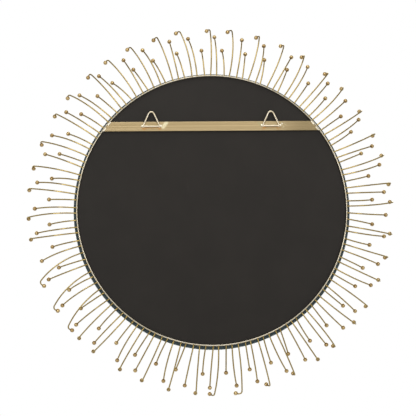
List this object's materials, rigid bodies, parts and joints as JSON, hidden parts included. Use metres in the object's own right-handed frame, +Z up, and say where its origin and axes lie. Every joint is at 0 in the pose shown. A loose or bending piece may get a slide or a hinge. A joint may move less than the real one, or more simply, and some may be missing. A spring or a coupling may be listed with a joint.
{
  "type": "sunburst wall mirror",
  "caption": "Round wall mirror in a sunburst of beaded gold wire rays, with a dark back, a flat hanging bar and wire triangles.",
  "frame": {"origin": "centre of the ring, on the wall plane that the rearmost wires touch", "axes": "+Z up, +Y towards the wall behind the mirror, so the mirror faces -Y; left, seen from behind, is +X"},
  "size_m": [0.6114, 0.0471, 0.6124],
  "materials": {
    "glass": "polished float glass",
    "silver": "mirror silvering",
    "back_paint": "satin blue-green mirror backing paint",
    "mastic": "matt",
    "board": "smooth satin black-brown hardboard",
    "ring": "satin champagne gold",
    "glue": "matt",
    "bar": "brushed champagne gold",
    "foam": "matt",
    "welds": "glossy gold",
    "hanger_wire": "satin pale gold",
    "ray_wire": "satin gold",
    "beads": "satin gold"
  },
  "bodies": {
    "root": {"mirror_glass": "glass", "mirror_silvering": "silver", "mirror_back_paint": "back_paint", "board_mastic": "mastic", "backing_board": "board", "rear_ring": "ring", "ring_glue_dabs": "glue", "hanging_bar": "bar", "bar_pads": "foam", "bar_end_welds": "welds", "left_hanger_loop": "hanger_wire", "right_hanger_loop": "hanger_wire", "left_hanger_welds": "welds", "right_hanger_welds": "welds", "short_rays_upper_right": "ray_wire", "short_rays_upper_left": "ray_wire", "short_rays_lower_left": "ray_wire", "short_rays_lower_right": "ray_wire", "medium_rays_upper_right": "ray_wire", "medium_rays_upper_left": "ray_wire", "medium_rays_lower_left": "ray_wire", "medium_rays_lower_right": "ray_wire", "long_rays_upper_right": "ray_wire", "long_rays_upper_left": "ray_wire", "long_rays_lower_left": "ray_wire", "long_rays_lower_right": "ray_wire", "short_beads_upper_right": "beads", "short_beads_upper_left": "beads", "short_beads_lower_left": "beads", "short_beads_lower_right": "beads", "medium_beads_upper_right": "beads", "medium_beads_upper_left": "beads", "medium_beads_lower_left": "beads", "medium_beads_lower_right": "beads", "long_beads_upper_right": "beads", "long_beads_upper_left": "beads", "long_beads_lower_left": "beads", "long_beads_lower_right": "beads"}
  },
  "joints": []
}
